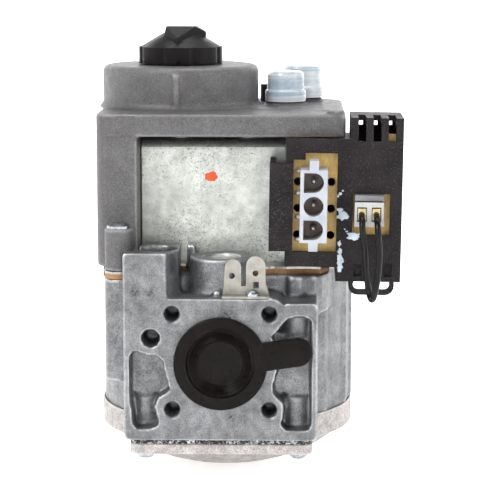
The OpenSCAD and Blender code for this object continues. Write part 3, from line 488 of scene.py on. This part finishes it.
def make_finishes():
    cast_metal("cast_body", grey(0.13), grey(0.215), 0.7, 0.4, edge_highlight_gain=2.6, spots=0.35,
               machined=[(-0.2, 12.8, 5.15, 16), (-17, 9.8, 5.35, 20)],
               smudges=[((-22.1, 0, 18.4), 1.7), ((-18.2, 0, 18.4), 1.7), ((3, 0, -14.4), 1.6),
                        ((2, 0, 12.6), 3.2), ((-12, 4, 25), 3), ((20, 8, 10), 2)])
    cast_metal("cast_cover", (0.33, 0.305, 0.295), (0.4, 0.375, 0.36), 0.3, 0.55, spots=0.1, edge_highlight_gain=1.4)
    cast_metal("cast_housing", (0.082, 0.079, 0.081), (0.11, 0.107, 0.109), 0.4, 0.48, 0.3,
               spots=0.05, edge_highlight_gain=2.6, blotches=0.08)
    moulded("black_rubber", (0.012, 0.012, 0.013), (0.022, 0.022, 0.024), 0.75, specular=0.15)
    flashed_rubber("flashed_rubber")
    plated_sheet("zinc_screw", (0.3, 0.33, 0.35), (0.5, 0.53, 0.56), 0.28, 1.2, 1.0)
    plated_sheet("zinc_sheet", (0.43, 0.45, 0.42), (0.52, 0.54, 0.5), 0.38)
    turned_metal("bright_steel", (0.35, 0.36, 0.37), (0.5, 0.51, 0.52), 0.3)
    turned_metal("spring_steel", (0.25, 0.26, 0.27), (0.4, 0.41, 0.42), 0.35)
    fibre("fibre_gasket")
    plated_sheet("tinned_sheet", (0.29, 0.28, 0.25), (0.38, 0.37, 0.33), 0.42, 3, 0.8, speckle=0.3)
    turned_metal("screen_mesh", (0.3, 0.28, 0.2), (0.42, 0.39, 0.27), 0.4)
    turned_metal("brass", (0.3, 0.22, 0.09), (0.42, 0.32, 0.14), 0.28)
    turned_metal("gold_contact", (0.4, 0.32, 0.16), (0.6, 0.5, 0.26), 0.25)
    turned_metal("copper_wire", (0.25, 0.09, 0.03), (0.42, 0.16, 0.06), 0.35)
    moulded("bobbin_nylon", (0.45, 0.42, 0.35), (0.55, 0.52, 0.44), 0.45)
    moulded("black_plastic", (0.009, 0.0075, 0.008), (0.017, 0.014, 0.015), 0.5, 0.45, 0.09, 0.55,
            specular=0.12)
    moulded("knob_plastic", (0.005, 0.004, 0.004), (0.006, 0.005, 0.005), 0.36, 0.4, 0.02,
            specular=0.1)
    moulded("plug_plastic", (0.004, 0.0028, 0.0028), (0.007, 0.005, 0.005), 0.3, 0.3, 0.015,
            specular=0.09)
    moulded("post_plastic", (0.03, 0.03, 0.033), (0.05, 0.05, 0.053), 0.5)
    laminate("board")
    moulded("board_part", (0.02, 0.022, 0.025), (0.04, 0.042, 0.046), 0.4)
    milky_nylon("white_nylon", (0.29, 0.32, 0.36), (0.38, 0.41, 0.45), 0.34, (0.22, 0.17, 0.14))
    moulded("grey_nylon", (0.12, 0.12, 0.13), (0.19, 0.19, 0.2), 0.45)
    milky_nylon("plug_nylon", (0.34, 0.34, 0.34), (0.44, 0.44, 0.43), 0.35, (0.16, 0.14, 0.09))
    milky_cap("clear_cap")
    moulded("cream_plastic", (0.5, 0.47, 0.38), (0.6, 0.57, 0.48), 0.4)
    moulded("wire_pvc", (0.005, 0.005, 0.005), (0.009, 0.009, 0.010), 0.2, 0.6, 0.01, specular=0.16)
    moulded("orange_paint", (0.72, 0.07, 0.012), (0.86, 0.11, 0.02), 0.4)
    moulded("dried_glue", (0.3, 0.38, 0.45), (0.66, 0.72, 0.76), 0.5, 0.6, 0.1)
    plated_sheet("solder", (0.5, 0.46, 0.45), (0.66, 0.6, 0.58), 0.35, 1.0, 0.7)
    white_sweep("floor")


# ---------------------------------------------------------------- shapes

def dress(piece, finish):
    """Gives a piece one finish all over."""
    piece.data.materials.clear()
    piece.data.materials.append(finishes[finish])


def dress_nodes():
    """Gives each CAD node the finish of its material slot."""
    for part in frame["record"]["subparts"]:
        piece = nodes[part["node"]]
        for slot in range(len(piece.material_slots)):
            piece.material_slots[slot].material = finishes[part["material_slot"]]


WELD_REACH = 1e-6


def add_weld(piece):
    piece.modifiers.new("weld", "WELD").merge_threshold = WELD_REACH


def round_edges(name, width):
    """Real rounded edges on a CAD node, as modifiers."""
    piece = nodes[name]
    add_weld(piece)
    bevel = piece.modifiers.new("round", "BEVEL")
    bevel.width = width * MM
    bevel.segments = 2
    bevel.limit_method = "ANGLE"
    bevel.angle_limit = math.radians(35)


def soften(name, voxel, passes, keep):
    """The soft corners and run-together fillets of a die casting, as modifiers."""
    piece = nodes[name]
    add_weld(piece)
    remesh = piece.modifiers.new("remesh", "REMESH")
    remesh.mode = "VOXEL"
    remesh.voxel_size = voxel * MM
    remesh.use_smooth_shade = True
    smooth = piece.modifiers.new("smooth", "SMOOTH")
    smooth.factor = 0.5
    smooth.iterations = passes
    decimate = piece.modifiers.new("decimate", "DECIMATE")
    decimate.ratio = keep


def finish_piece(shape, name, body, finish):
    """Turns a bmesh in millimetres into a piece that rides on a body."""
    bmesh.ops.scale(shape, vec=(MM, MM, MM), verts=shape.verts)
    bmesh.ops.recalc_face_normals(shape, faces=shape.faces)
    mesh = bpy.data.meshes.new(name)
    shape.to_mesh(mesh)
    shape.free()
    mesh.shade_smooth()
    piece = bpy.data.objects.new(name, mesh)
    bpy.context.scene.collection.objects.link(piece)
    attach(piece, body)
    dress(piece, finish)
    return piece


LATHE_SIDES = 96


def lathe(shape, profile, centre_z):
    """Adds a surface turned about the Y axis at X 0 and centre_z.

    profile is (radius, y) pairs, on the axis at both ends.
    """
    turns = [math.tau * k / LATHE_SIDES for k in range(LATHE_SIDES)]
    rings = []
    for r, y in profile[1:-1]:
        rings.append([shape.verts.new((r * math.cos(t), y, centre_z + r * math.sin(t))) for t in turns])
    first = shape.verts.new((0, profile[0][1], centre_z))
    last = shape.verts.new((0, profile[-1][1], centre_z))
    for k in range(LATHE_SIDES):
        n = (k + 1) % LATHE_SIDES
        shape.faces.new((first, rings[0][k], rings[0][n]))
        shape.faces.new((last, rings[-1][n], rings[-1][k]))
        for a, b in zip(rings, rings[1:]):
            shape.faces.new((a[k], b[k], b[n], a[n]))


def stitch(shape, loops):
    """Closes a stack of loops of points into a solid."""
    count = len(loops[0])
    shape.faces.new(loops[0])
    shape.faces.new(loops[-1])
    for a, b in zip(loops, loops[1:]):
        for k in range(count):
            n = (k + 1) % count
            shape.faces.new((a[k], a[n], b[n], b[k]))


# The outlet plug, in millimetres
PLUG_CENTRE_Z = -0.2
PLUG_FACE = -1.6
PLUG_ROOT = -0.12
RING_STEP = 0.24
RINGS_FROM = 8.25
RINGS_TO = 6.5
STUB_RADIUS = 9.8
STUB_CHAMFER = 0.6
STUB_WALL = 1.6
STUB_FLOOR = 0.4
TAB_START = 8.0
TAB_LENGTH = 20.4
TAB_HALF = 3.7
TAB_RISE = math.radians(8.6)
TAB_END_STEPS = 16


def add_outlet_plug():
    """The soft plastic plug: a flange with a ridge and fine rings round a dished centre, and its pull tab."""
    shape = bmesh.new()
    rings = []
    radius = RINGS_FROM
    while radius > RINGS_TO:
        rings += [(radius, -0.92), (radius - RING_STEP / 2, -1.02)]
        radius -= RING_STEP
    rim = [(0, -0.1), (11.6, -0.1), (12.2, -0.15), (12.2, -1.25), (12.1, -1.47), (11.9, PLUG_FACE)]
    ridge = [(9.75, PLUG_FACE), (9.45, -1.65), (9.25, -1.86), (8.95, -1.86), (8.8, -1.6), (8.6, -1.15),
             (8.4, -0.95)]
    dish = [(6.4, -0.95), (6.2, -0.85), (6.0, -0.5), (5.85, -0.3), (5.6, -0.2), (3, -0.18), (0, -0.17)]
    lathe(shape, rim + ridge + rings + dish, PLUG_CENTRE_Z)
    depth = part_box("outlet_plug")[1][1] / MM
    stub_inside = STUB_RADIUS - STUB_WALL
    lathe(shape, [(0, PLUG_ROOT), (STUB_RADIUS, PLUG_ROOT), (STUB_RADIUS, depth - STUB_CHAMFER),
                  (STUB_RADIUS - STUB_CHAMFER, depth), (stub_inside, depth), (stub_inside, STUB_FLOOR),
                  (0, STUB_FLOOR)], 0)
    outline = [(TAB_START, TAB_HALF), (TAB_START, -TAB_HALF)]
    for k in range(TAB_END_STEPS + 1):
        turn = math.radians(-90 + 180 * k / TAB_END_STEPS)
        outline.append((TAB_LENGTH + TAB_HALF * math.cos(turn), TAB_HALF * math.sin(turn)))
    spin = Matrix.Rotation(-TAB_RISE, 3, "Y")
    corners = [spin @ Vector((x, 0, z)) for x, z in outline]
    middle = spin @ Vector(((TAB_START + TAB_LENGTH) / 2, 0, 0))
    loops = []
    for y, inset in ((PLUG_ROOT, 0.0), (-1.15, 0.0), (-1.35, 0.06), (-1.42, 0.25)):
        loop = []
        for corner in corners:
            inward = (middle - corner).normalized() * inset
            loop.append(shape.verts.new((corner.x + inward.x, y, corner.z + inward.z)))
        loops.append(loop)
    stitch(shape, loops)
    plug = finish_piece(shape, "port_plug", "outlet_port_plug", "plug_plastic")
    plug.data.set_sharp_from_angle(angle=math.radians(50))
    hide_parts("outlet_plug")


DAB_SIDES = 28
# A dab's outline at each level, as a share of its size, and the level as a share of its thickness
DAB_LEVELS = [(1.0, -0.06), (0.93, 0.45), (0.75, 0.8), (0.4, 1.0)]


def add_dab(name, spots, y, finish, thick, uneven):
    """Low irregular blobs on a face that looks forward, at y, as one piece on the valve.

    spots are (x, z, half width, half height).
    """
    shape = bmesh.new()
    for index, (x, z, half_w, half_h) in enumerate(spots):
        loops = []
        for part, rise in DAB_LEVELS:
            loop = []
            for k in range(DAB_SIDES):
                turn = math.tau * k / DAB_SIDES
                at = Vector((math.cos(turn), math.sin(turn), 0))
                wobble = 1 + uneven * noise.noise(at * 1.6 + Vector((0, 0, 7.3 * index + x)))
                wobble += 0.6 * uneven * noise.noise(at * 4.5 + Vector((0, 0, 3.1 * index + z)))
                across = half_w * part * wobble * at.x
                up = half_h * part * wobble * at.y
                loop.append(shape.verts.new((x + across, y - thick * rise, z + up)))
            loops.append(loop)
        stitch(shape, loops)
    finish_piece(shape, name, "valve", finish)


def add_marks():
    """A dab of orange paint on the coil bracket, and dried glue on the electronics cover."""
    add_dab("paint_dab", [(-3.25, 46.15, 1.75, 1.3)], 21.6, "orange_paint", 0.12, 0.3)
    glue = [(30.9, 43.6, 0.5, 0.4), (31.6, 44.4, 0.25, 0.25), (30.4, 43.0, 0.25, 0.3),
            (31.0, 39.4, 0.8, 0.6), (31.7, 38.0, 1.45, 1.2), (30.4, 37.6, 0.5, 0.4),
            (34.5, 32.4, 1.5, 1.15), (33.3, 33.2, 0.5, 0.3), (32.7, 33.8, 0.35, 0.2), (32.2, 34.4, 0.25, 0.2),
            (30.8, 30.6, 0.45, 0.7), (31.0, 28.6, 0.6, 0.9), (31.0, 26.2, 0.8, 1.5), (31.0, 24.3, 0.7, 1.2)]
    add_dab("glue_marks", glue, 6.0, "dried_glue", 0.16, 0.45)


def add_solder():
    """Solder on the board's left edge, beside the header."""
    joints = [(20.3, z, 1.3, 0.6) for z in (49.3, 43.5, 37.2, 31.3)]
    add_dab("solder_joints", joints, 9.0, "solder", 0.35, 0.3)


def add_spring(node):
    """A copy of a coil spring in spring steel, riding on the valve in place of its CAD node."""
    piece = bpy.data.objects.new(f"{node}_coil", nodes[node].data.copy())
    bpy.context.scene.collection.objects.link(piece)
    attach(piece, "valve")
    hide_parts(node)
    dress(piece, "spring_steel")
    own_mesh(piece)


add_camera()
wire = add_jumper_wire()
floor = add_floor()
add_light()
make_finishes()
dress_nodes()
dress(floor, "floor")
dress(wire, "wire_pvc")
dress(nodes["cover_gasket"], "flashed_rubber")
dress(nodes["jumper_plug"], "plug_nylon")
soften("valve_body", 0.52, 3, 0.55)
soften("control_housing", 0.5, 2, 0.6)
soften("bottom_cover", 0.4, 3, 0.5)
round_edges("electronics_cover", 0.3)
round_edges("three_way_header", 0.15)
round_edges("jumper_plug", 0.12)
round_edges("jumper_header", 0.12)
round_edges("ground_terminal", 0.12)
round_edges("coil_bracket", 0.25)
round_edges("knob", 0.3)
add_spring("main_valve_spring")
add_spring("first_plunger_spring")
add_spring("second_plunger_spring")
add_outlet_plug()
add_marks()
add_solder()
